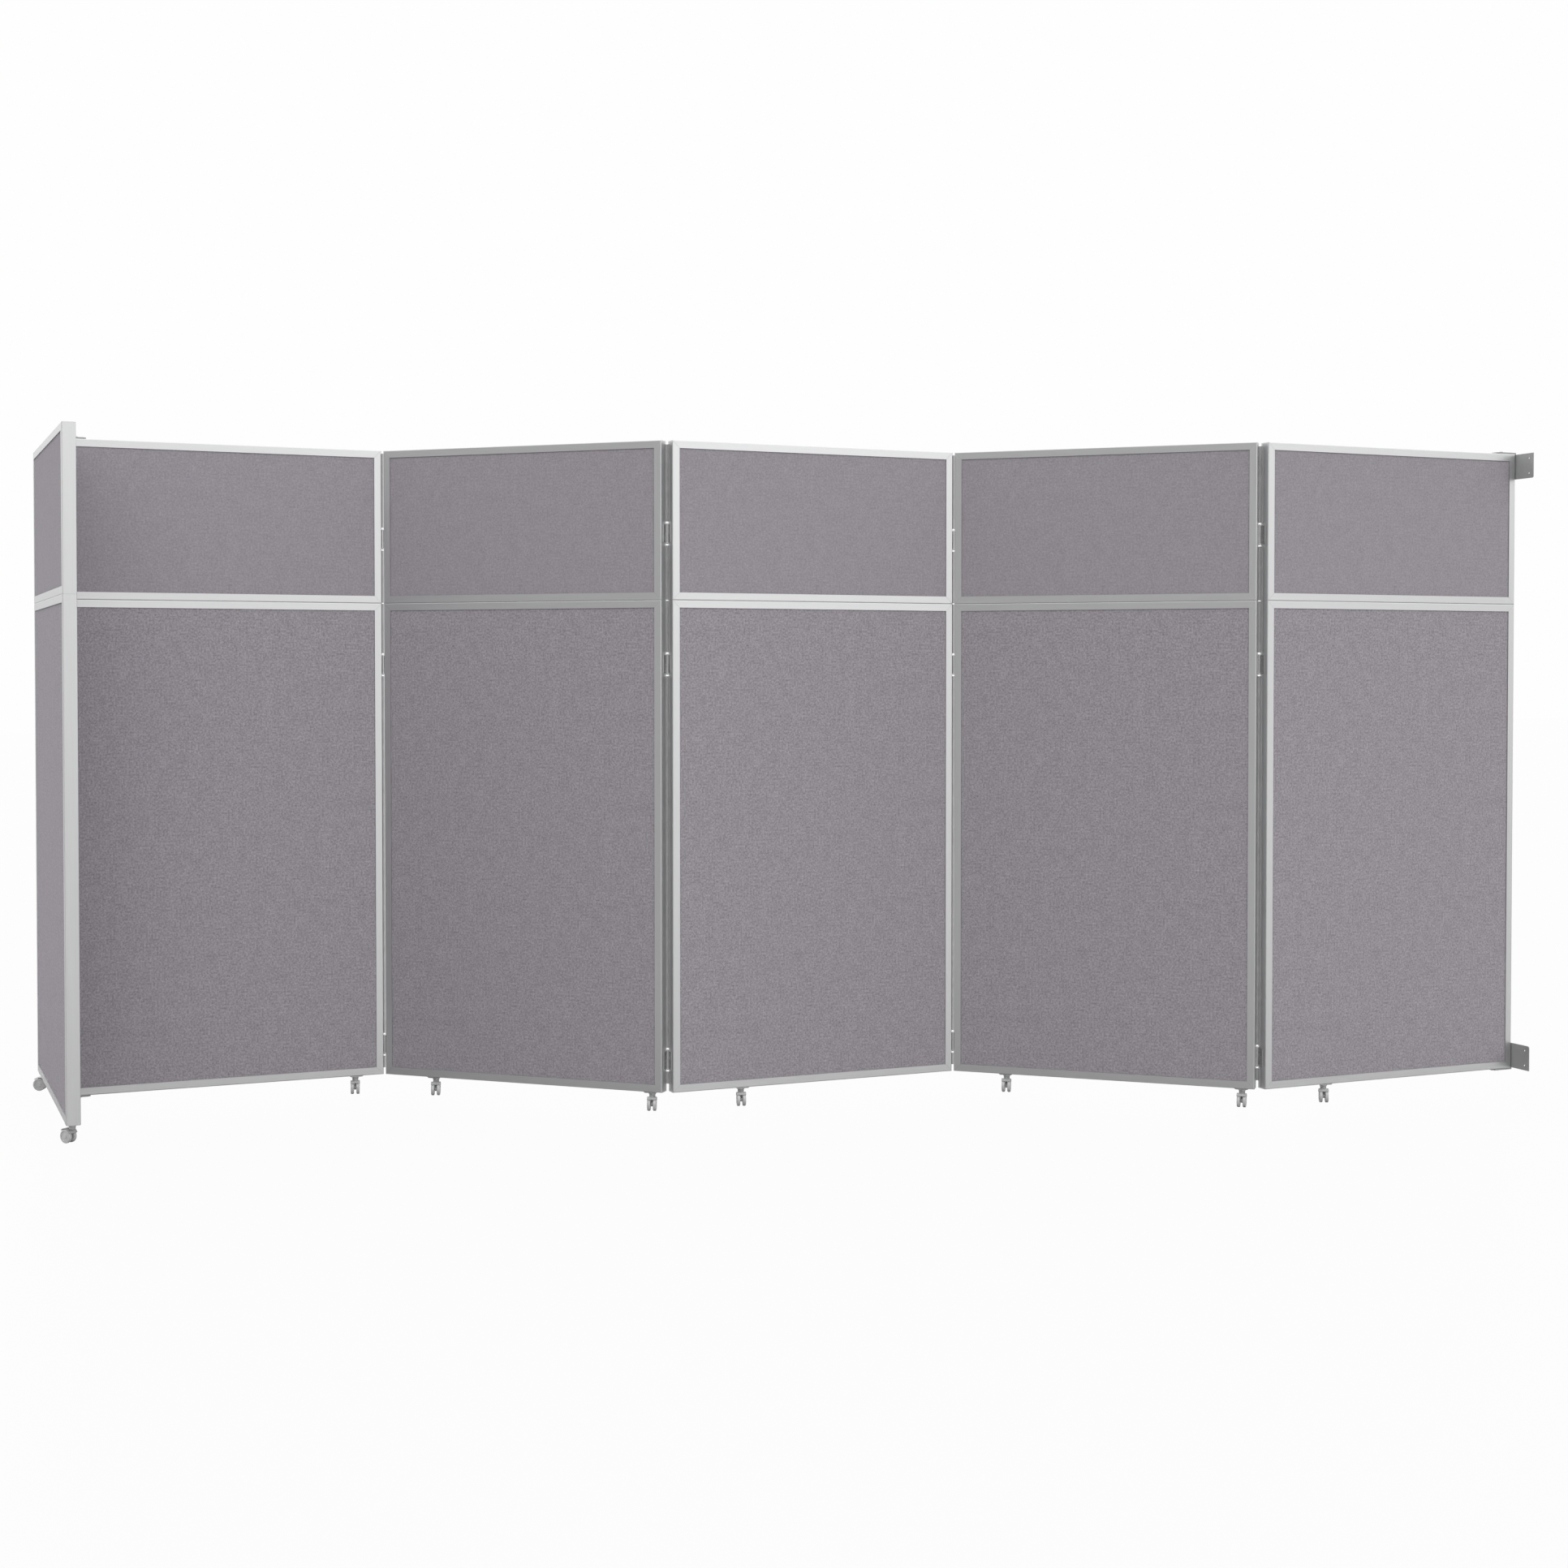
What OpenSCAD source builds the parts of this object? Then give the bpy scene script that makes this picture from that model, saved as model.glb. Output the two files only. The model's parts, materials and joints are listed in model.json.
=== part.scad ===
// Accordion partition wall: five hinged panels and a T-shaped end panel on twin-wheel casters.
// The right-hand end is held to a building wall by two steel brackets.
// Units are millimetres. Z is up and the casters stand on Z = 0.
// The end panels and the middle panel lie along X; their front faces look towards -Y.

/* [Panels] */
// width of one panel frame
panel_w = 1203; // [900:1:1400]
// thickness of the frame
panel_t = 50; // [40:1:60]
// height of the lower section
lower_h = 1891; // [1500:1:2100]
// height of the upper section
upper_h = 609; // [400:1:900]
// clear height under the frames
floor_gap = 72; // [72:1:90]
// visible width of the frame tube
face_w = 29; // [20:0.5:40]
// depth of the infill below the frame face
lip_t = 4; // [2:0.5:8]
// thickness of the outer web of the frame tube
web_t = 2.5; // [1.5:0.5:5]
// radius of the outer long edges
edge_r = 3; // [1:0.5:5]

/* [Folds] */
// turn between neighbouring panels at rest
fold = 42.9; // [0:0.1:60]
// gap between neighbouring frames when flat
fold_gap = 6; // [6:0.5:12]
// distance of the hinge pin outside the frame face
pin_out = 2; // [2:0.5:6]
// heights of the hinge centres above the frame bottom: lowest
hinge_low = 120.5; // [80:0.5:200]
// middle hinge
hinge_mid = 1645.5; // [1500:0.5:1750]
// upper hinge
hinge_top = 2147; // [2000:0.5:2400]

/* [Hinges] */
// height of a hinge leaf
leaf_h = 70; // [60:1:90]
// depth of a hinge leaf across the panel thickness
leaf_d = 27; // [15:1:35]
// thickness of a hinge leaf
leaf_t = 1.8; // [1.2:0.1:2.4]
// outer radius of the knuckles
knuckle_r = 4; // [3:0.1:4.4]
// radius of the hinge pin
pin_r = 2.3; // [1.8:0.05:3]
// radial clearance between pin and knuckle
pin_clear = 0.06; // [0.02:0.01:0.1]
// radius of the ball ends
ball_r = 4.4; // [4:0.1:4.5]

/* [Seals] */
// radius of the round seals at the front folds
seal_front_r = 3.7; // [2:0.1:4.4]
// radius of the round seals at the back folds
seal_back_r = 4.2; // [2:0.1:4.4]
// width of the seal base
seal_w = 12; // [8:0.5:20]

/* [Brackets] */
// plate width
bracket_w = 250; // [150:1:300]
// plate height
bracket_h = 100; // [60:1:140]
// plate thickness
bracket_t = 3; // [2:0.5:5]
// length of the tab over the rail, measured from the back of the plate
tab_l = 93; // [60:1:120]
// width of the tab
tab_w = 44; // [30:1:48]
// thickness of the tab
tab_t = 6; // [4:0.5:8]
// gap between the T panel and its neighbour
tee_gap = 20; // [10:1:30]
// gap between the last frame and the building wall
wall_gap = 6; // [6:0.5:12]
// spacing of the wall screws, side to side
hole_dy = 200; // [150:1:230]
// spacing of the wall screws, up and down
hole_dz = 60; // [40:1:80]
// radius of the wall screw holes
hole_r = 3.5; // [2:0.1:5]

/* [Casters] */
// wheel diameter
wheel_d = 50; // [40:1:50]
// width of one wheel
wheel_w = 12; // [8:0.5:16]
// distance of the wheel axle from the swivel axis
trail = 20; // [14:1:24]
// radius of the swivel stem
stem_r = 5.5; // [4:0.1:7]
// radius of the wheel axle
axle_r = 3; // [2:0.1:4]
// caster position near a back fold, from the panel end
caster_near = 50; // [40:1:80]
// caster position on the neighbouring panel at a back fold
caster_far = 290; // [200:1:350]
// caster position near a front fold on the first panel
caster_a = 110; // [90:1:150]
// caster position near a front fold on the second panel
caster_b = 215; // [180:1:260]

/* [Hidden] */
$fn = 48;
half_gap = fold_gap / 2;
frame_h = lower_h + upper_h;
seam_z = floor_gap + lower_h;
top_z = floor_gap + frame_h;
board_gap = 0.3;
hinge_zs = [hinge_low, hinge_mid, hinge_top];
// offset that puts the origin under the centre of the whole row
row_x = -2689.877;
row_y = 574.185;

function turn(a, p) = [p[0] * cos(a) - p[1] * sin(a), p[0] * sin(a) + p[1] * cos(a)];

// pin positions on a panel: front pins sit before the front face, back pins behind the back face
front_right = [panel_w + half_gap, -pin_out];
front_left = [-half_gap, -pin_out];
back_right = [panel_w + half_gap, panel_t + pin_out];
back_left = [-half_gap, panel_t + pin_out];

org1 = [row_x, row_y];
org2 = org1 + front_right - turn(-fold, front_left);
org3 = org2 + turn(-fold, back_right) - back_left;
org4 = org3 + front_right - turn(-fold, front_left);
org5 = org4 + turn(-fold, back_right) - back_left;
orgt = org1 + [-tee_gap - panel_t, panel_t / 2 + panel_w / 2];

// panel 0 is the T panel, panels 1 to 5 run from left to right
orgs = [orgt, org1, org2, org3, org4, org5];
angs = [-90, 0, -fold, 0, -fold, 0];

module on_panel(k) {
  translate([orgs[k][0], orgs[k][1], 0]) rotate([0, 0, angs[k]]) children();
}

// ---------- colours ----------
module metal() { color([0.76, 0.77, 0.78]) children(); }
module cloth() { color([0.55, 0.53, 0.56]) children(); }
module steel() { color([0.80, 0.80, 0.80]) children(); }
module rubber_grey() { color([0.33, 0.33, 0.34]) children(); }
module dark_paint() { color([0.42, 0.43, 0.43]) children(); }
module grey_plastic() { color([0.60, 0.61, 0.62]) children(); }

// ---------- frame sections ----------
function corner(cx, cy, r, a) = [for (i = [0:3]) [cx + r * cos(a + 30 * i), cy + r * sin(a + 30 * i)]];
function soft_rect(w, d, r) = concat(
  corner(w - r, r, r, -90),
  corner(w - r, d - r, r, 0),
  corner(r, d - r, r, 90),
  corner(r, r, r, 180));

module section_frame(h) {
  difference() {
    intersection() {
      linear_extrude(h) polygon(soft_rect(panel_w, panel_t, edge_r));
      rotate([90, 0, 90]) linear_extrude(panel_w) polygon(soft_rect(panel_t, h, edge_r));
    }
    translate([face_w, -1, face_w]) cube([panel_w - 2 * face_w, panel_t + 2, h - 2 * face_w]);
    translate([web_t, lip_t, web_t])
      cube([panel_w - 2 * web_t, panel_t - 2 * lip_t, h - 2 * web_t]);
  }
}

// the infill stands on the lower web and sits between the lips of the frame
module section_board(h) {
  translate([web_t + board_gap, lip_t + board_gap, web_t])
    cube([panel_w - 2 * web_t - 2 * board_gap, panel_t - 2 * lip_t - 2 * board_gap,
      h - 2 * web_t - 2 * board_gap]);
}

// screw hole for the tab of a bracket, u is the place along the panel
module tab_hole(u, z) {
  translate([u, panel_t / 2, z - 5]) cylinder(h = 10, r = 4.2);
}

module upper_frame(k) {
  metal() on_panel(k) difference() {
    translate([0, 0, seam_z]) section_frame(upper_h);
    if (k == 1) tab_hole(tab_u_tee, top_z);
    if (k == 5) tab_hole(panel_w - tab_u_wall, top_z);
  }
}

module lower_frame(k) {
  metal() on_panel(k) difference() {
    translate([0, 0, floor_gap]) section_frame(lower_h);
    if (k == 1) tab_hole(tab_u_tee, floor_gap);
    if (k == 5) tab_hole(panel_w - tab_u_wall, floor_gap);
  }
}

module upper_board(k) {
  cloth() on_panel(k) translate([0, 0, seam_z]) section_board(upper_h);
}

module lower_board(k) {
  cloth() on_panel(k) translate([0, 0, floor_gap]) section_board(lower_h);
}

// ---------- lift-off hinges ----------
// both leaves are drawn about the pin, with the frame faces towards +Y
module leaf_plate(side) {
  x0 = side < 0 ? -half_gap : half_gap - leaf_t;
  translate([x0, knuckle_r + 0.5, -leaf_h / 2]) cube([leaf_t, leaf_d, leaf_h]);
}

module leaf_arm(side, z0, z1) {
  x0 = side < 0 ? -half_gap : half_gap - leaf_t;
  translate([x0, 0, z0]) cube([leaf_t, knuckle_r + 1, z1 - z0]);
}

module leaf_with_pin() {
  leaf_plate(-1);
  leaf_arm(-1, -35, -2);
  translate([0, 0, -35]) cylinder(h = 33.5, r = knuckle_r);
  translate([0, 0, -1.5]) cylinder(h = 3, r = ball_r);
  translate([0, 0, 1]) cylinder(h = 31, r = pin_r);
  translate([0, 0, -36]) sphere(r = ball_r);
}

module leaf_with_bore() {
  difference() {
    union() {
      leaf_plate(1);
      leaf_arm(1, 2, 35);
      translate([0, 0, 1.8]) cylinder(h = 33.2, r = knuckle_r);
      translate([0, 0, 36]) sphere(r = ball_r);
    }
    translate([0, 0, 1]) cylinder(h = 31.5, r = pin_r + pin_clear);
  }
}

module three_high(p, flip) {
  for (z = hinge_zs)
    translate([p[0], p[1], floor_gap + z]) mirror([0, flip, 0]) children();
}

module hinge_leaves(k) {
  steel() on_panel(k) {
    if (k == 1 || k == 3) three_high(front_right, 0) leaf_with_pin();
    if (k == 2 || k == 4) three_high(back_right, 1) leaf_with_pin();
    if (k == 2 || k == 4) three_high(front_left, 0) leaf_with_bore();
    if (k == 3 || k == 5) three_high(back_left, 1) leaf_with_bore();
  }
}

// ---------- seals ----------
// a round seal lies on each pin line between the hinges, so it closes the slit at every fold
seal_clear = leaf_h / 2 + 11;
seal_runs = [
  [28, hinge_low - seal_clear],
  [hinge_low + seal_clear, hinge_mid - seal_clear],
  [hinge_mid + seal_clear, lower_h - 2],
  [lower_h + 2, hinge_top - seal_clear],
  [hinge_top + seal_clear, frame_h - 12]];

// drawn about the pin, with the frame faces towards +Y and the base on the frame edge
module round_seal(side, r) {
  x0 = side < 0 ? -half_gap : half_gap - 1.2;
  for (run = seal_runs) translate([0, 0, floor_gap + run[0]]) {
    cylinder(h = run[1] - run[0], r = r);
    translate([x0, 0, 0]) cube([1.2, pin_out + edge_r + seal_w, run[1] - run[0]]);
  }
}

module seal_at(p, flip, side, r) {
  translate([p[0], p[1], 0]) mirror([0, flip, 0]) round_seal(side, r);
}

module strip_profile(run, out) {
  r = 2.2;
  translate([0, -seal_w / 2, floor_gap + run[0]]) cube([out - r, seal_w / 4, run[1] - run[0]]);
  translate([0, -seal_w / 2, floor_gap + run[0]]) cube([1.4, seal_w, run[1] - run[0]]);
  translate([out - r, -seal_w / 2 + seal_w / 8, floor_gap + run[0]])
    cylinder(h = run[1] - run[0], r = r);
}

// the end seals stop short of the bracket plates
end_run = [bracket_h + 10, frame_h - bracket_h - 10];

module end_seal(side, out) {
  x = side > 0 ? panel_w : 0;
  translate([x, panel_t / 2, 0]) mirror([side > 0 ? 0 : 1, 0, 0]) strip_profile(end_run, out);
}

module seals(k) {
  rubber_grey() on_panel(k) {
    if (k == 1 || k == 3) seal_at(front_right, 0, -1, seal_front_r);
    if (k == 3 || k == 5) seal_at(back_left, 1, 1, seal_back_r);
    if (k == 1) end_seal(-1, tee_gap - 0.6);
    if (k == 5) end_seal(1, wall_gap - 0.6);
  }
}

// ---------- brackets ----------
// drawn with the back of the plate on X = 0 and the tab running towards -X
tab_hole_x = tab_l - 36;
tab_u_wall = tab_hole_x - wall_gap;
tab_u_tee = tab_hole_x - tee_gap;

function plate_outline(w, h, r) = concat(
  [[-w / 2, h], [w / 2, h]],
  [for (i = [0:6]) [w / 2 - r + r * cos(-15 * i), r + r * sin(-15 * i)]],
  [for (i = [0:6]) [-w / 2 + r - r * sin(15 * i), r - r * cos(15 * i)]]);

module bracket_holes() {
  for (y = [-hole_dy / 2, hole_dy / 2], z = [-hole_dz / 2, hole_dz / 2])
    translate([1, y, bracket_h / 2 + z]) rotate([0, -90, 0]) cylinder(h = bracket_t + 2, r = hole_r);
}

// plate top edge is 2 mm below the top of the frame, which is Z = bracket_h + 2 here
module bracket() {
  difference() {
    union() {
      rotate([0, -90, 0]) rotate([0, 0, -90])
        linear_extrude(bracket_t) polygon(plate_outline(bracket_w, bracket_h, 8));
      translate([-bracket_t, -tab_w / 2, bracket_h - 1]) cube([bracket_t, tab_w, tab_t + 3]);
      translate([-tab_l + 8, -tab_w / 2, bracket_h + 2]) cube([tab_l - 8, tab_w, tab_t]);
      translate([-tab_l, -tab_w / 2 + 8, bracket_h + 2]) cube([9, tab_w - 16, tab_t]);
    }
    bracket_holes();
    translate([-tab_hole_x, 0, bracket_h]) cylinder(h = tab_t + 4, r = 4.2);
  }
}

module tab_screw() {
  translate([-tab_hole_x, 0, bracket_h + 2 + tab_t]) cylinder(h = 4, r1 = 8, r2 = 6.5);
  translate([-tab_hole_x, 0, bracket_h]) cylinder(h = tab_t + 3, r = 3.9);
}

module plate_screws() {
  for (y = [-hole_dy / 2, hole_dy / 2], z = [-hole_dz / 2, hole_dz / 2])
    translate([-bracket_t, y, bracket_h / 2 + z]) rotate([0, 90, 0]) {
      translate([0, 0, -3]) cylinder(h = 3, r1 = 4.5, r2 = 6.2);
      translate([0, 0, -1]) cylinder(h = bracket_t + 0.8, r = 3.3);
    }
}

// puts a bracket at the top and a mirrored one at the bottom of a vertical face
module bracket_pair() {
  translate([0, 0, top_z - bracket_h - 2]) children();
  translate([0, 0, floor_gap + bracket_h + 2]) mirror([0, 0, 1]) children();
}

module at_wall() {
  on_panel(5) translate([panel_w + wall_gap, panel_t / 2, 0]) children();
}

module at_tee() {
  on_panel(1) translate([-tee_gap, panel_t / 2, 0]) mirror([1, 0, 0]) children();
}

module wall_brackets() { dark_paint() at_wall() bracket_pair() bracket(); }
module tee_brackets() { dark_paint() at_tee() bracket_pair() bracket(); }
module wall_bracket_screws() { dark_paint() at_wall() bracket_pair() tab_screw(); }

module tee_bracket_screws() {
  dark_paint() at_tee() bracket_pair() {
    tab_screw();
    plate_screws();
  }
}

// ---------- casters ----------
head_r = 12;
hood_r = wheel_d / 2 + 4.5;
axle_z = wheel_d / 2;
boss_z = floor_gap - 10;

// panel, place along the panel, turn of the trail against the panel
caster_at = [
  [0, caster_near, -113],
  [0, panel_w - caster_near, -143],
  [1, panel_w - caster_a, -104],
  [2, caster_b, -66],
  [2, panel_w - caster_near, -72],
  [3, caster_far, -107],
  [4, caster_b, -81],
  [4, panel_w - caster_near, -87],
  [5, caster_far, -121]];

module at_caster(n) {
  c = caster_at[n - 1];
  on_panel(c[0]) translate([c[1], panel_t / 2, 0]) rotate([0, 0, c[2]]) children();
}

// the mounting plate keeps square to the panel
module caster_plate() {
  difference() {
    union() {
      translate([0, 23, floor_gap - 4]) rotate([90, 0, 0])
        linear_extrude(46) polygon([[-22, 0], [22, 0], [28, 4], [-28, 4]]);
      translate([0, 0, boss_z]) cylinder(h = 7, r = 14);
    }
    translate([0, 0, boss_z - 1]) cylinder(h = floor_gap - boss_z, r = stem_r + 0.05);
  }
}

module caster_plates(k) {
  steel() for (c = caster_at)
    if (c[0] == k) on_panel(k) translate([c[1], panel_t / 2, 0]) caster_plate();
}

// stem, head, middle web and a hood over the two wheels; the axle bore runs along Y
module caster_body(n) {
  grey_plastic() at_caster(n) difference() {
    union() {
      translate([0, 0, 52]) cylinder(h = boss_z - 0.4 - 52, r = head_r);
      translate([0, 0, 58]) cylinder(h = floor_gap - 1.8 - 58, r = stem_r);
      hull() {
        translate([0, -4, 52]) cube([head_r, 8, 2]);
        translate([trail, 4, axle_z]) rotate([90, 0, 0]) cylinder(h = 8, r = 8);
      }
      intersection() {
        translate([trail, 18, axle_z]) rotate([90, 0, 0]) difference() {
          cylinder(h = 36, r = hood_r);
          translate([0, 0, -1]) cylinder(h = 38, r = hood_r - 2);
        }
        translate([-6, -20, axle_z + 12]) cube([trail + 25, 40, 40]);
      }
      translate([0, -4, 46]) cube([trail + 6, 8, 7]);
    }
    translate([trail, 6, axle_z]) rotate([90, 0, 0]) cylinder(h = 12, r = axle_r + 0.05);
  }
}

// one wheel with a rounded tread and a dished outer face, drawn from its inner face
module one_wheel() {
  difference() {
    rotate_extrude() polygon([
      [0, 0], [wheel_d / 2 - 2.5, 0], [wheel_d / 2 - 0.8, 0.9], [wheel_d / 2, 2.8],
      [wheel_d / 2, wheel_w - 2.8], [wheel_d / 2 - 0.8, wheel_w - 0.9],
      [wheel_d / 2 - 2.5, wheel_w], [0, wheel_w]]);
    translate([0, 0, wheel_w - 2]) difference() {
      cylinder(h = 3, r = wheel_d / 2 - 6);
      translate([0, 0, -1]) cylinder(h = 5, r = 7);
    }
  }
}

module caster_wheels(n) {
  grey_plastic() at_caster(n) translate([trail, 0, axle_z]) {
    translate([0, 5.2, 0]) rotate([-90, 0, 0]) one_wheel();
    translate([0, -5.2, 0]) rotate([90, 0, 0]) one_wheel();
    translate([0, 6, 0]) rotate([90, 0, 0]) cylinder(h = 12, r = axle_r);
  }
}

upper_frame(0);  // tee_upper_frame
lower_frame(0);  // tee_lower_frame
upper_board(0);  // tee_upper_board
lower_board(0);  // tee_lower_board
upper_frame(1);  // panel1_upper_frame
lower_frame(1);  // panel1_lower_frame
upper_board(1);  // panel1_upper_board
lower_board(1);  // panel1_lower_board
upper_frame(2);  // panel2_upper_frame
lower_frame(2);  // panel2_lower_frame
upper_board(2);  // panel2_upper_board
lower_board(2);  // panel2_lower_board
upper_frame(3);  // panel3_upper_frame
lower_frame(3);  // panel3_lower_frame
upper_board(3);  // panel3_upper_board
lower_board(3);  // panel3_lower_board
upper_frame(4);  // panel4_upper_frame
lower_frame(4);  // panel4_lower_frame
upper_board(4);  // panel4_upper_board
lower_board(4);  // panel4_lower_board
upper_frame(5);  // panel5_upper_frame
lower_frame(5);  // panel5_lower_frame
upper_board(5);  // panel5_upper_board
lower_board(5);  // panel5_lower_board
hinge_leaves(1);  // panel1_hinge_leaves
hinge_leaves(2);  // panel2_hinge_leaves
hinge_leaves(3);  // panel3_hinge_leaves
hinge_leaves(4);  // panel4_hinge_leaves
hinge_leaves(5);  // panel5_hinge_leaves
seals(1);  // panel1_seals
seals(3);  // panel3_seals
seals(5);  // panel5_seals
tee_brackets();
tee_bracket_screws();
wall_brackets();
wall_bracket_screws();
caster_plates(0);  // tee_caster_plates
caster_plates(1);  // panel1_caster_plate
caster_plates(2);  // panel2_caster_plates
caster_plates(3);  // panel3_caster_plate
caster_plates(4);  // panel4_caster_plates
caster_plates(5);  // panel5_caster_plate
caster_body(1);  // caster1_body
caster_body(2);  // caster2_body
caster_body(3);  // caster3_body
caster_body(4);  // caster4_body
caster_body(5);  // caster5_body
caster_body(6);  // caster6_body
caster_body(7);  // caster7_body
caster_body(8);  // caster8_body
caster_body(9);  // caster9_body
caster_wheels(1);  // caster1_wheels
caster_wheels(2);  // caster2_wheels
caster_wheels(3);  // caster3_wheels
caster_wheels(4);  // caster4_wheels
caster_wheels(5);  // caster5_wheels
caster_wheels(6);  // caster6_wheels
caster_wheels(7);  // caster7_wheels
caster_wheels(8);  // caster8_wheels
caster_wheels(9);  // caster9_wheels
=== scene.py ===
"""Looks for the accordion partition wall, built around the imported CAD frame. Metres throughout."""
import json
import math

import bmesh
import bpy
from mathutils import Matrix, Vector


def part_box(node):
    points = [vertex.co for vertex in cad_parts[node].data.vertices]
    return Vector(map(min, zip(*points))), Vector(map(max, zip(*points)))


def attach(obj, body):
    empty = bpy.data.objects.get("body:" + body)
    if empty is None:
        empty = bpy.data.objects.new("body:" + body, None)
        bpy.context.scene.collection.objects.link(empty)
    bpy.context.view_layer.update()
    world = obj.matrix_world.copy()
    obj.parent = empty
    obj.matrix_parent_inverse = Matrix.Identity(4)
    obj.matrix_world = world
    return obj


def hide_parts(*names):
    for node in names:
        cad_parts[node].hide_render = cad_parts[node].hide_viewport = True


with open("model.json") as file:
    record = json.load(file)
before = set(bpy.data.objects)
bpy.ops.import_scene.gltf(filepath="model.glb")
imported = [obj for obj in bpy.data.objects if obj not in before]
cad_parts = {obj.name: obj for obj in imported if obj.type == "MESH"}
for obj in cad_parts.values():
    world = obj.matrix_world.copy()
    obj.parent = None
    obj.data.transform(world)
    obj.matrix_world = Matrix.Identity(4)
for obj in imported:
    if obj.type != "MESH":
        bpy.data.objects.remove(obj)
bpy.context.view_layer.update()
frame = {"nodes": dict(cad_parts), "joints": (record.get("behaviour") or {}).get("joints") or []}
scene = bpy.context.scene
scene.view_settings.view_transform = "Standard"
nodes = frame["nodes"]
joint = {j["name"]: j for j in frame["joints"]}

# ---------------------------------------------------------------- layout, read from the frame
pin = {k: Vector(joint["fold_" + k]["pos_m"]) for k in "abcd"}
lo1, hi1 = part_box("panel1_lower_frame")
up1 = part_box("panel1_upper_frame")
W, T = hi1.x - lo1.x, hi1.y - lo1.y
FLOOR_GAP, SEAM, TOP = lo1.z, up1[0].z, up1[1].z
HALF_GAP, PIN_OUT = pin["a"].x - hi1.x, lo1.y - pin["a"].y
between = pin["b"] - pin["a"]
FOLD = math.atan2(T + 2 * PIN_OUT, W + 2 * HALF_GAP) - math.atan2(between.y, between.x)


def turned(angle, x, y):
    """The flat vector x, y turned about Z."""
    c, s = math.cos(angle), math.sin(angle)
    return Vector((x * c - y * s, x * s + y * c, 0))


tee_lo, tee_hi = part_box("tee_lower_frame")
angles = [-math.pi / 2, 0, -FOLD, 0, -FOLD, 0]
corners = [Vector((tee_lo.x, tee_hi.y, 0))]
for k in range(1, 6):
    if k in (1, 3, 5):
        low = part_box("panel%d_lower_frame" % k)[0]
        corners.append(Vector((low.x, low.y, 0)))
    else:
        p = pin["a" if k == 2 else "c"]
        corners.append(Vector((p.x, p.y, 0)) - turned(-FOLD, -HALF_GAP, -PIN_OUT))
place = [Matrix.Translation(corners[k]) @ Matrix.Rotation(angles[k], 4, "Z") for k in range(6)]
names = ["tee"] + ["panel%d" % k for k in range(1, 6)]
body_of_panel = ["panel1", "panel1", "panel2", "panel3", "panel4", "panel5"]
FACE = 0.029            # visible width of the frame tube
THREAD = 4830           # radians per metre: the weave repeats every 1.3 mm
PAD_RISE = 0.0014       # how much fuller a board is in the middle than at the lip
PAD_ROLL = 0.004        # distance over which the cloth rises from the lip
PAD_DRIFT = 0.00012     # slow unevenness of the pad
BACKDROP = (0.99, 0.99, 0.99, 1)

# camera: direction turned from +Y, eye measured from the front left corner of panel 1
LENS_MM, LENS_SHIFT = 50.81, -0.0375
YAW, PITCH = math.radians(23.221), math.radians(-1.287)
EYE = Vector((-0.8138, -8.7811, FLOOR_GAP + 1.6023))


# ---------------------------------------------------------------- camera
def make_camera():
    data = bpy.data.cameras.new("camera")
    cam = bpy.data.objects.new("camera", data)
    scene.collection.objects.link(cam)
    data.sensor_width = 36
    data.lens = LENS_MM
    data.shift_y = LENS_SHIFT
    data.clip_start, data.clip_end = 0.1, 200
    level = math.cos(PITCH)
    look = Vector((math.sin(YAW) * level, math.cos(YAW) * level, math.sin(PITCH)))
    cam.location = corners[1] + EYE
    cam.rotation_mode = "QUATERNION"
    cam.rotation_quaternion = look.to_track_quat("-Z", "Y")
    scene.camera = cam


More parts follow.
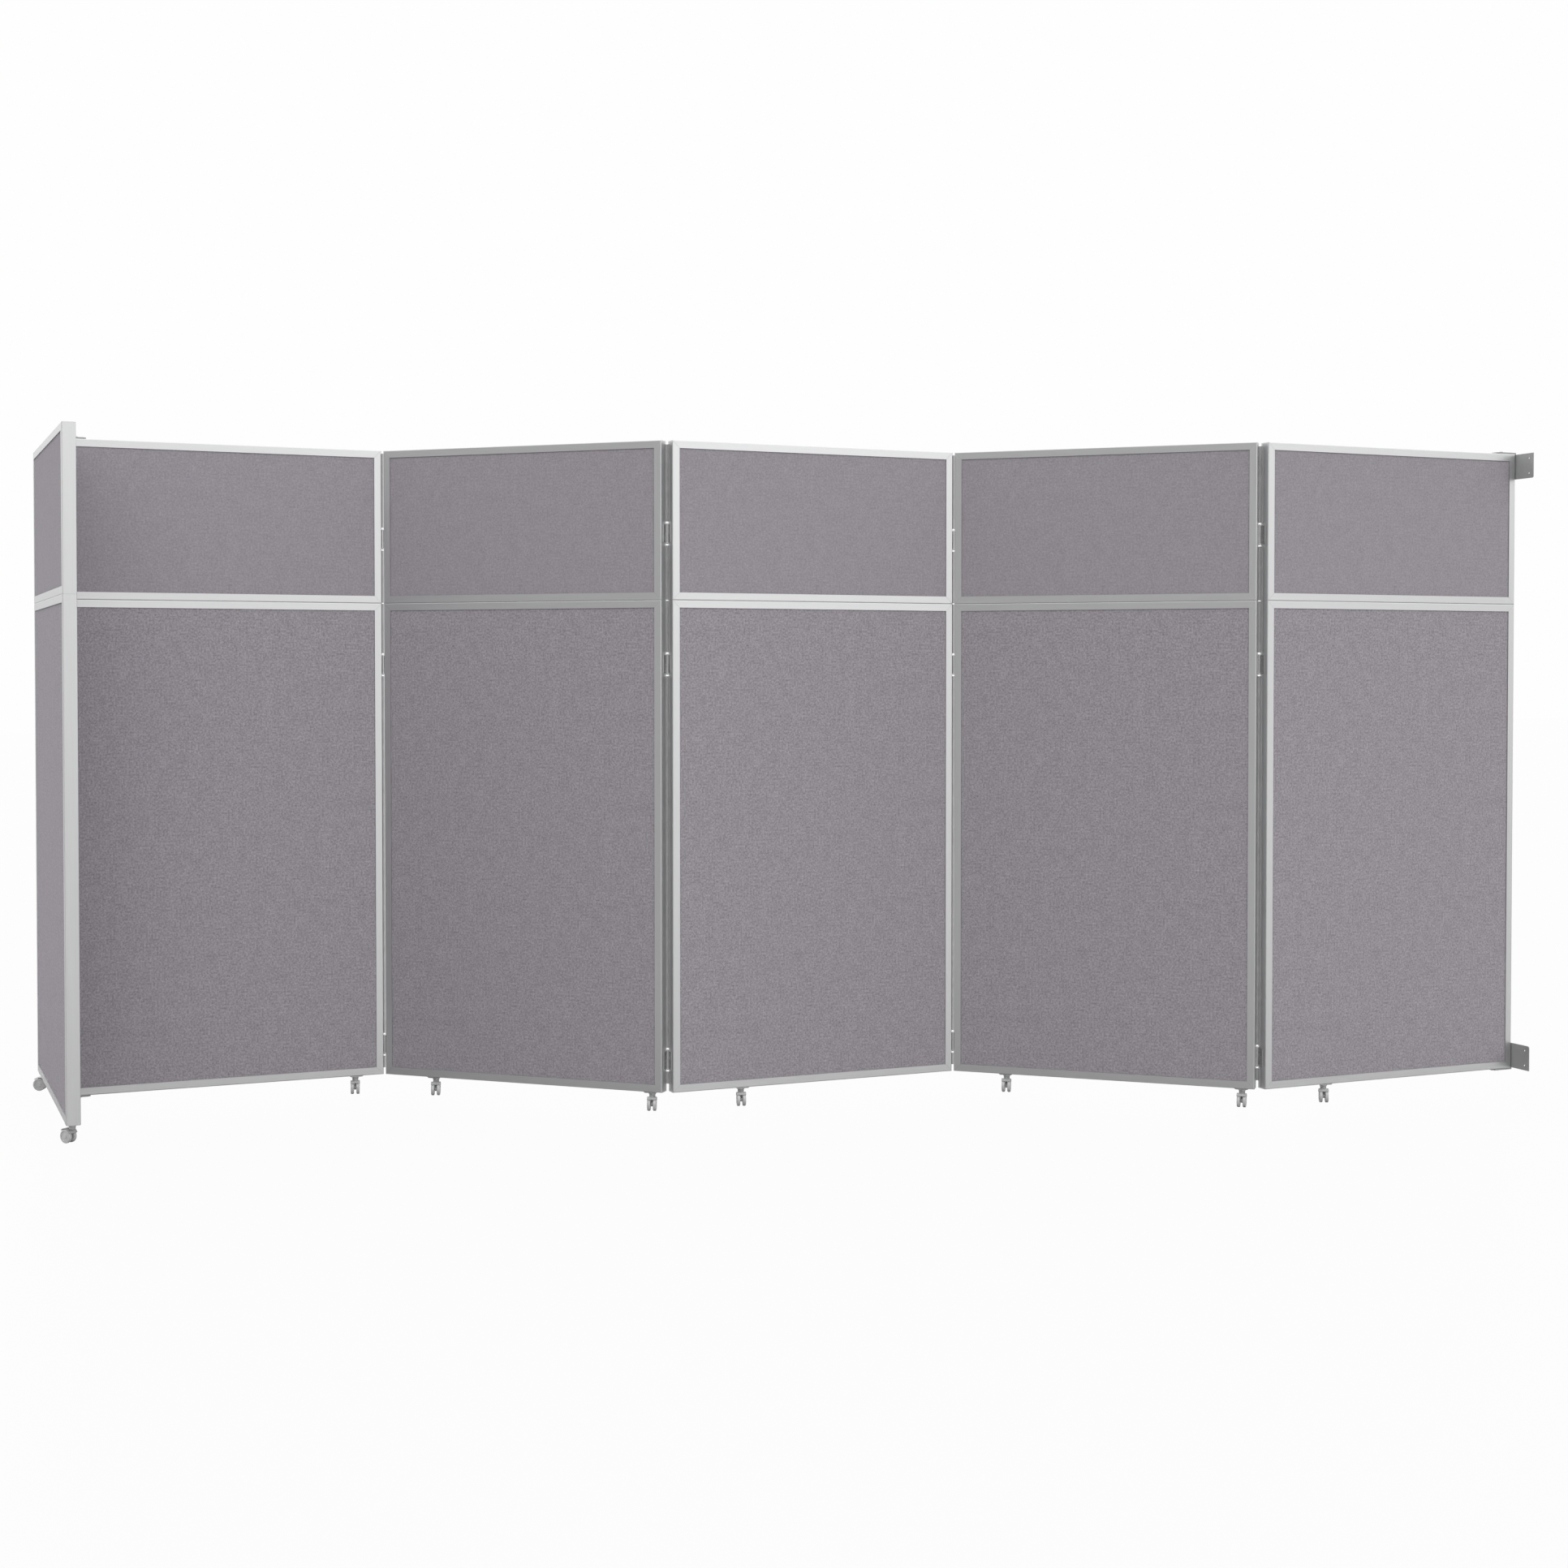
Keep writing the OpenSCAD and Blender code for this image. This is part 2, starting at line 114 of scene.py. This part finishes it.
# ---------------------------------------------------------------- shader helpers
class Nodes:
    """A short way to write a node tree: every call returns an output socket."""

    def __init__(self, name):
        self.mat = bpy.data.materials.new(name)
        self.mat.use_nodes = True
        self.tree = self.mat.node_tree
        self.tree.nodes.clear()
        self.shader = self.tree.nodes.new("ShaderNodeBsdfPrincipled")
        out = self.tree.nodes.new("ShaderNodeOutputMaterial")
        self.tree.links.new(self.shader.outputs[0], out.inputs["Surface"])

    def put(self, socket, value):
        if isinstance(value, bpy.types.NodeSocket):
            self.tree.links.new(value, socket)
        else:
            socket.default_value = value

    def math(self, op, a, b=0.0, c=None, clamp=False):
        n = self.tree.nodes.new("ShaderNodeMath")
        n.operation, n.use_clamp = op, clamp
        self.put(n.inputs[0], a)
        self.put(n.inputs[1], b)
        if c is not None:
            self.put(n.inputs[2], c)
        return n.outputs[0]

    def coords(self, scale=(1, 1, 1), loc=(0, 0, 0), turn=0.0, inverse=False):
        tc = self.tree.nodes.new("ShaderNodeTexCoord")
        m = self.tree.nodes.new("ShaderNodeMapping")
        m.vector_type = "TEXTURE" if inverse else "POINT"
        self.tree.links.new(tc.outputs["Object"], m.inputs["Vector"])
        m.inputs["Location"].default_value = loc
        m.inputs["Rotation"].default_value = (0, 0, turn)
        m.inputs["Scale"].default_value = scale
        return m.outputs[0]

    def split(self, vec):
        n = self.tree.nodes.new("ShaderNodeSeparateXYZ")
        self.put(n.inputs[0], vec)
        return n.outputs[0], n.outputs[1], n.outputs[2]

    def join(self, x, y, z):
        n = self.tree.nodes.new("ShaderNodeCombineXYZ")
        for s, v in zip(n.inputs, (x, y, z)):
            self.put(s, v)
        return n.outputs[0]

    def noise(self, vec, scale=1.0, detail=2.0, rough=0.5, distortion=0.0):
        n = self.tree.nodes.new("ShaderNodeTexNoise")
        self.put(n.inputs["Vector"], vec)
        n.inputs["Scale"].default_value = scale
        n.inputs["Detail"].default_value = detail
        n.inputs["Roughness"].default_value = rough
        n.inputs["Distortion"].default_value = distortion
        return n.outputs["Fac"]

    def voronoi(self, vec, scale=1.0):
        n = self.tree.nodes.new("ShaderNodeTexVoronoi")
        self.put(n.inputs["Vector"], vec)
        n.inputs["Scale"].default_value = scale
        return n.outputs["Distance"]

    def remap(self, x, a, b, c=0.0, d=1.0):
        n = self.tree.nodes.new("ShaderNodeMapRange")
        n.clamp = True
        for s, v in zip(n.inputs, (x, a, b, c, d)):
            self.put(s, v)
        return n.outputs[0]

    def swing(self, x, a, b, by):
        """x between a and b as a factor between 1 - by and 1 + by."""
        return self.remap(x, a, b, 1 - by, 1 + by)

    def mix(self, fac, dark, light):
        """A colour between two given as red, green, blue."""
        n = self.tree.nodes.new("ShaderNodeMix")
        n.data_type = "RGBA"
        self.put(n.inputs[0], fac)
        for socket, colour in ((6, dark), (7, light)):      # the two colour inputs
            n.inputs[socket].default_value = colour + (1,)
        return n.outputs[2]

    def shade(self, colour, factor):
        """colour times a number."""
        n = self.tree.nodes.new("ShaderNodeVectorMath")
        n.operation = "SCALE"
        self.put(n.inputs[0], colour)
        self.put(n.inputs["Scale"], factor)
        return n.outputs[0]

    def bump(self, height, strength, distance, below=None):
        n = self.tree.nodes.new("ShaderNodeBump")
        n.inputs["Strength"].default_value = strength
        n.inputs["Distance"].default_value = distance
        self.put(n.inputs["Height"], height)
        if below is not None:
            self.put(n.inputs["Normal"], below)
        return n.outputs[0]

    def done(self, **sockets):
        for name, value in sockets.items():
            self.put(self.shader.inputs[name.replace("_", " ")], value)
        return self.mat


# ---------------------------------------------------------------- materials
def fabric(name, fleck, cloudiness):
    """Felted heather upholstery cloth: light and dark fibres over a fine plain weave.

    fleck is the contrast of the fibres, cloudiness that of the broad mottling.
    """
    m = Nodes(name)
    u, v, z = m.split(m.coords())

    def spots(per_u, per_z, detail, distortion=0.0):
        """Noise with its own fineness across and up the cloth."""
        stretched = m.join(m.math("MULTIPLY", u, per_u), v, m.math("MULTIPLY", z, per_z))
        return m.noise(stretched, 1, detail, 0.6, distortion)

    # warp and weft passing over each other
    warp = m.math("SINE", m.math("MULTIPLY", u, THREAD))
    weft = m.math("SINE", m.math("MULTIPLY", z, THREAD))
    weave = m.math("ADD", m.math("MULTIPLY", m.math("MULTIPLY", warp, weft), 0.5), 0.5)
    # fibres and the heather fleck
    fuzz = m.math("MULTIPLY", m.math("ADD", spots(520, 210, 2, 0.8), spots(190, 480, 2, 0.8)), 0.5)
    grain = spots(150, 135, 3)
    tone = m.math("ADD", m.math("MULTIPLY", fuzz, 0.30), m.math("MULTIPLY", grain, 0.70))
    tone = m.remap(tone, 0.36, 0.64, 0.5 - fleck / 2, 0.5 + fleck / 2)
    colour = m.mix(tone, (0.236, 0.215, 0.240), (0.530, 0.498, 0.540))
    # broader mottling: crossed streaks, blots and slubs
    streaks = m.math("ADD", spots(125, 22, 2), spots(18, 135, 2))
    cross = m.swing(streaks, 0.72, 1.28, 0.07 * cloudiness)
    blots = m.swing(spots(22, 15, 4), 0.3, 0.7, 0.05 * cloudiness)
    slubs = m.swing(spots(7, 95, 3, 1.5), 0.3, 0.7, 0.015)
    cloud = m.math("MULTIPLY", blots, slubs)
    # painted shade: the cloth is darker in the hollows of the weave
    depth = m.swing(weave, 0, 1, 0.07)
    colour = m.shade(colour, m.math("MULTIPLY", m.math("MULTIPLY", cloud, cross), depth))
    height = m.math("ADD", m.math("MULTIPLY", weave, 0.6), m.math("MULTIPLY", fuzz, 0.9))
    normal = m.bump(height, 0.55, 0.0004, m.bump(grain, 0.25, 0.0006))
    rough = m.remap(fuzz, 0.3, 0.7, 0.88, 0.98)
    return m.done(Base_Color=colour, Roughness=rough, Normal=normal, Specular_IOR_Level=0.12,
                  Sheen_Weight=0.12, Sheen_Roughness=0.5, Sheen_Tint=(0.8, 0.78, 0.82, 1))


def tube_metal(name, k, z0, h):
    """Satin anodised aluminium: draw lines along each length, a mitre line at each corner."""
    m = Nodes(name)
    local = m.coords(loc=(corners[k].x, corners[k].y, z0), turn=angles[k], inverse=True)
    u, v, z = m.split(local)
    du = m.math("MINIMUM", u, m.math("SUBTRACT", W, u))
    dz = m.math("MINIMUM", z, m.math("SUBTRACT", h, z))
    rail = m.math("LESS_THAN", dz, du)
    stile = m.math("SUBTRACT", 1.0, rail)
    along = m.math("ADD", m.math("MULTIPLY", u, rail), m.math("MULTIPLY", z, stile))
    across = m.math("ADD", m.math("MULTIPLY", z, rail), m.math("MULTIPLY", u, stile))
    seed = m.math("MULTIPLY", rail, 7.3)

    def drawn(per_length, per_width, per_depth, detail, rough):
        """Noise stretched along the tube, different in rails and stiles."""
        side = m.math("ADD", m.math("MULTIPLY", across, per_width), seed)
        deep = m.math("MULTIPLY", v, per_depth)
        return m.noise(m.join(m.math("MULTIPLY", along, per_length), side, deep), 1, detail, rough)

    lines = drawn(5, 1500, 1500, 3, 0.6)
    broad = drawn(1.6, 60, 40, 2, 0.5)
    specks = m.noise(m.coords((900, 900, 900)), 1, 2, 0.7)
    off = m.math("ABSOLUTE", m.math("SUBTRACT", du, dz))
    corner = m.math("LESS_THAN", m.math("MAXIMUM", du, dz), FACE)
    mitre = m.math("MULTIPLY", m.remap(off, 0.0003, 0.0008, 1, 0), corner)
    grime = m.math("MULTIPLY", m.remap(off, 0.0, 0.006, 0.02, 0), corner)
    tone = m.math("ADD", m.remap(lines, 0.3, 0.7, 0.965, 1.03), m.remap(broad, 0.3, 0.7, -0.008, 0.008))
    tone = m.math("SUBTRACT", tone, m.math("ADD", m.math("MULTIPLY", mitre, 0.2), grime))
    colour = m.mix(specks, (0.71, 0.713, 0.718), (0.75, 0.753, 0.757))
    colour = m.shade(colour, tone)
    rough = m.math("ADD", m.remap(lines, 0.3, 0.7, 0.32, 0.40), m.remap(specks, 0.35, 0.65, -0.02, 0.02))
    normal = m.bump(lines, 0.12, 0.0001, m.bump(mitre, 0.5, -0.0004))
    return m.done(Base_Color=colour, Roughness=rough, Normal=normal, Metallic=1.0)


def polished_steel():
    """Bright turned steel with faint handling marks."""
    m = Nodes("polished_steel")
    fine = m.noise(m.coords((260, 260, 2600)), 1, 2, 0.6)
    marks = m.noise(m.coords((900, 900, 300)), 1, 3, 0.7, 1.0)
    colour = m.mix(marks, (0.56, 0.56, 0.565), (0.74, 0.74, 0.74))
    rough = m.math("ADD", m.remap(fine, 0.3, 0.7, 0.12, 0.2), m.remap(marks, 0.55, 0.75, 0, 0.12))
    return m.done(Base_Color=colour, Roughness=rough, Normal=m.bump(fine, 0.06, 0.0001), Metallic=1.0)


def zinc_steel():
    """Zinc-plated sheet with a soft spangle."""
    m = Nodes("zinc_plate")
    spangle = m.voronoi(m.coords((160, 160, 160)))
    fine = m.noise(m.coords((700, 700, 700)), 1, 2, 0.6)
    colour = m.mix(spangle, (0.42, 0.425, 0.43), (0.60, 0.60, 0.60))
    return m.done(Base_Color=colour, Roughness=m.remap(fine, 0.3, 0.7, 0.28, 0.42),
                  Normal=m.bump(fine, 0.1, 0.0001), Metallic=1.0)


def seal_rubber():
    """Dull grey extruded rubber with fine lines along its length and dust in the hollows."""
    m = Nodes("seal_rubber")
    lines = m.noise(m.coords((1400, 1400, 6)), 1, 3, 0.6)
    dust = m.noise(m.coords((60, 60, 25)), 1, 4, 0.65)
    colour = m.mix(m.remap(dust, 0.35, 0.7), (0.47, 0.47, 0.475), (0.57, 0.57, 0.575))
    return m.done(Base_Color=m.shade(colour, m.remap(lines, 0.3, 0.7, 0.92, 1.05)),
                  Roughness=m.remap(dust, 0.3, 0.7, 0.6, 0.78), Normal=m.bump(lines, 0.2, 0.0002))


def textured_paint(name, dark, light, grain=700):
    """Powder coat: fine pebbled surface, lighter on the raised pebbles and darker between them."""
    m = Nodes(name)
    pebbles = m.noise(m.coords((grain, grain, grain)), 1, 2, 0.55)
    patches = m.noise(m.coords((9, 9, 9)), 1, 3, 0.5)
    colour = m.mix(m.remap(patches, 0.35, 0.65), dark, light)
    colour = m.shade(colour, m.remap(pebbles, 0.3, 0.7, 0.94, 1.06))
    return m.done(Base_Color=colour, Roughness=m.remap(pebbles, 0.3, 0.7, 0.42, 0.56),
                  Normal=m.bump(pebbles, 0.3, 0.0003), Metallic=0.15)


def moulded(name, dark, light, low, high, coat):
    """Moulded plastic: fine grain, slight colour drift, scuffs that dull the gloss.

    low and high are the roughness limits, coat the weight of the clear gloss.
    """
    m = Nodes(name)
    grain = m.noise(m.coords((1300, 1300, 1300)), 1, 2, 0.6)
    drift = m.noise(m.coords((45, 45, 45)), 1, 3, 0.55)
    scuff = m.noise(m.coords((180, 180, 420)), 1, 4, 0.7, 1.2)
    colour = m.mix(m.remap(drift, 0.35, 0.65), dark, light)
    colour = m.shade(colour, m.remap(scuff, 0.55, 0.75, 1.0, 0.9))
    rough = m.math("ADD", m.remap(grain, 0.3, 0.7, low, high), m.remap(scuff, 0.55, 0.75, 0, 0.15))
    return m.done(Base_Color=colour, Roughness=rough, Normal=m.bump(grain, 0.12, 0.0001),
                  Coat_Weight=coat, Coat_Roughness=0.12)


CLOTH = {
    "lower": fabric("heather_fabric", 0.8, 1.1),
    "upper": fabric("heather_fabric_smooth", 0.45, 0.7),
}
STEEL = polished_steel()
ZINC = zinc_steel()
RUBBER = seal_rubber()
PAINT = textured_paint("bracket_paint", (0.40, 0.405, 0.405), (0.44, 0.445, 0.445))
SCREW = textured_paint("screw_paint", (0.44, 0.445, 0.445), (0.48, 0.485, 0.485), 1500)
SHELL = moulded("caster_shell", (0.46, 0.465, 0.465), (0.53, 0.535, 0.535), 0.1, 0.18, 0.8)
WHEEL = moulded("caster_wheel", (0.58, 0.582, 0.582), (0.66, 0.662, 0.662), 0.24, 0.34, 0.3)


def paint(node, material):
    data = nodes[node].data
    data.materials.clear()
    data.materials.append(material)


def finish_cad_nodes():
    for k, name in enumerate(names):
        for part, z0, z1 in (("lower", FLOOR_GAP, SEAM), ("upper", SEAM, TOP)):
            paint("%s_%s_frame" % (name, part), tube_metal("tube_%s_%s" % (name, part), k, z0, z1 - z0))
    for node in nodes:
        if node.endswith("hinge_leaves"):
            paint(node, STEEL)
        elif node.endswith("_seals"):
            paint(node, RUBBER)
        elif node.endswith("brackets"):
            paint(node, PAINT)
        elif node.endswith("bracket_screws"):
            paint(node, SCREW)
        elif "caster_plate" in node:
            paint(node, ZINC)
        elif node.endswith("_body"):
            paint(node, SHELL)
        elif node.endswith("_wheels"):
            paint(node, WHEEL)


# ---------------------------------------------------------------- fabric-covered boards
def stops(length, edge):
    """Grid lines along one side of a board: close together where the cloth rolls over its edge."""
    past_edge = (0, 0.0015, 0.0035, 0.006, 0.01, 0.018, 0.035, 0.08)
    near = [0, 0.0012] + [edge + x for x in past_edge]
    far = [length - x for x in reversed(near)]
    gap = far[0] - near[-1]
    count = max(2, round(gap / 0.07))
    return near + [near[-1] + gap * i / count for i in range(1, count)] + far


def rim(rows):
    """The outer vertices of a grid, once round."""
    right = [row[-1] for row in rows[1:]]
    left = [row[0] for row in rows[-2:0:-1]]
    return rows[0] + right + rows[-1][-2::-1] + left


def board(k, part):
    """Cloth over a thin fibre pad: full in the middle, rolled down where the lip holds it."""
    cad = "%s_%s_board" % (names[k], part)
    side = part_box("panel1_%s_board" % part)
    inset = side[0].x - lo1.x
    deep = side[0].y - lo1.y
    width, height = W - 2 * inset, side[1].z - side[0].z
    hidden = FACE - inset
    us, zs = stops(width, hidden), stops(height, hidden)

    def swell(s, length):
        d = min(s, length - s) - hidden
        if d <= 0:
            return 0.0
        return 1 - math.exp(-d / PAD_ROLL)

    def depth(u, z):
        full = swell(u, width) * swell(z, height)
        drift = PAD_DRIFT * math.sin(u * 9.1 + k) * math.sin(z * 6.3 + 2 * k)
        return deep - (PAD_RISE - drift) * full

    bm = bmesh.new()
    faces = []
    for back in (False, True):
        rows = []
        for z in zs:
            row = []
            for u in us:
                v = depth(u, z)
                row.append(bm.verts.new((inset + u, T - v if back else v, side[0].z + z)))
            rows.append(row)
        faces.append(rows)
        for i in range(len(zs) - 1):
            for j in range(len(us) - 1):
                quad = (rows[i][j], rows[i][j + 1], rows[i + 1][j + 1], rows[i + 1][j])
                bm.faces.new(quad if not back else tuple(reversed(quad)))
    front, rear = faces
    rim_front, rim_rear = rim(front), rim(rear)
    for i in range(len(rim_front)):
        j = (i + 1) % len(rim_front)
        bm.faces.new((rim_front[i], rim_rear[i], rim_rear[j], rim_front[j]))
    mesh = bpy.data.meshes.new(cad + "_cloth")
    bm.to_mesh(mesh)
    bm.free()
    mesh.shade_smooth()
    mesh.materials.append(CLOTH[part])
    piece = bpy.data.objects.new(cad.replace("_board", "_infill"), mesh)
    scene.collection.objects.link(piece)
    piece.matrix_world = place[k]
    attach(piece, body_of_panel[k])
    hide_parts(cad)
    return piece


# ---------------------------------------------------------------- floor and light
def make_floor():
    mesh = bpy.data.meshes.new("floor")
    far = 60
    square = [(-far, -far, 0), (far, -far, 0), (far, far, 0), (-far, far, 0)]
    mesh.from_pydata(square, [], [(0, 1, 2, 3)])
    floor = bpy.data.objects.new("floor", mesh)
    scene.collection.objects.link(floor)
    floor.location.z = -0.0004
    m = Nodes("pale_floor")
    mesh.materials.append(m.mat)
    soft = m.noise(m.coords((0.6, 0.6, 0.6)), 1, 2, 0.5)
    colour = m.mix(soft, (0.36, 0.36, 0.36), (0.38, 0.38, 0.38))
    m.done(Base_Color=colour, Roughness=0.3, Specular_IOR_Level=0.7)
    # to the camera the floor is nearly as bright as the backdrop, with faint soft shadows
    new, link = m.tree.nodes.new, m.tree.links.new
    glow, both, path = new("ShaderNodeEmission"), new("ShaderNodeMixShader"), new("ShaderNodeLightPath")
    glow.inputs["Color"].default_value = BACKDROP
    link(m.math("MULTIPLY", path.outputs["Is Camera Ray"], 0.975), both.inputs[0])
    link(m.shader.outputs[0], both.inputs[1])
    link(glow.outputs[0], both.inputs[2])
    out = next(n for n in m.tree.nodes if n.type == "OUTPUT_MATERIAL")
    link(both.outputs[0], out.inputs["Surface"])


def make_light():
    """A pale studio: a soft overhead glow with four soft regions that give the metal its shape."""
    world = bpy.data.worlds.new("studio")
    scene.world = world
    world.use_nodes = True
    t = world.node_tree
    t.nodes.clear()
    new, link = t.nodes.new, t.links.new
    out, choose = new("ShaderNodeOutputWorld"), new("ShaderNodeMixShader")
    bg_light, bg_seen = new("ShaderNodeBackground"), new("ShaderNodeBackground")
    path, tc, sep = (new("ShaderNode" + n) for n in ("LightPath", "TexCoord", "SeparateXYZ"))
    bg_seen.inputs["Color"].default_value = BACKDROP
    link(tc.outputs["Generated"], sep.inputs[0])

    def ranged(value, a, b, c, d):
        n = new("ShaderNodeMapRange")
        n.interpolation_type = "SMOOTHSTEP"
        n.clamp = True
        link(value, n.inputs[0])
        for s, v in zip(n.inputs[1:5], (a, b, c, d)):
            s.default_value = v
        return n.outputs[0]

    def towards(x, y, z):
        """1 in this direction, falling off to the sides."""
        n = new("ShaderNodeVectorMath")
        n.operation = "DOT_PRODUCT"
        link(tc.outputs["Generated"], n.inputs[0])
        n.inputs[1].default_value = Vector((x, y, z)).normalized()
        return n.outputs["Value"]

    def times(a, b):
        n = new("ShaderNodeMath")
        n.operation = "MULTIPLY"
        link(a, n.inputs[0])
        link(b, n.inputs[1])
        return n.outputs[0]

    up = ranged(sep.outputs[2], -0.1, 0.27, 0.70, 1.46)
    dark = ranged(towards(-0.88, -0.47, 0.0), 0.70, 0.97, 1.0, 0.40)
    bright = ranged(towards(0.38, -0.92, 0.1), 0.95, 1.0, 0.86, 1.25)
    dim_left = ranged(towards(-0.08, -1.0, 0.0), 0.96, 1.0, 1.0, 0.90)
    dim_right = ranged(towards(0.76, -0.65, 0.0), 0.93, 1.0, 1.0, 0.84)
    level = times(times(times(up, dark), bright), times(dim_left, dim_right))
    link(level, bg_light.inputs["Strength"])
    bg_light.inputs["Color"].default_value = (1, 1, 1, 1)
    link(path.outputs["Is Camera Ray"], choose.inputs[0])
    link(bg_light.outputs[0], choose.inputs[1])
    link(bg_seen.outputs[0], choose.inputs[2])
    link(choose.outputs[0], out.inputs["Surface"])


make_camera()
finish_cad_nodes()
for k in range(len(names)):
    board(k, "lower")
    board(k, "upper")
make_floor()
make_light()

bpy.context.view_layer.update()
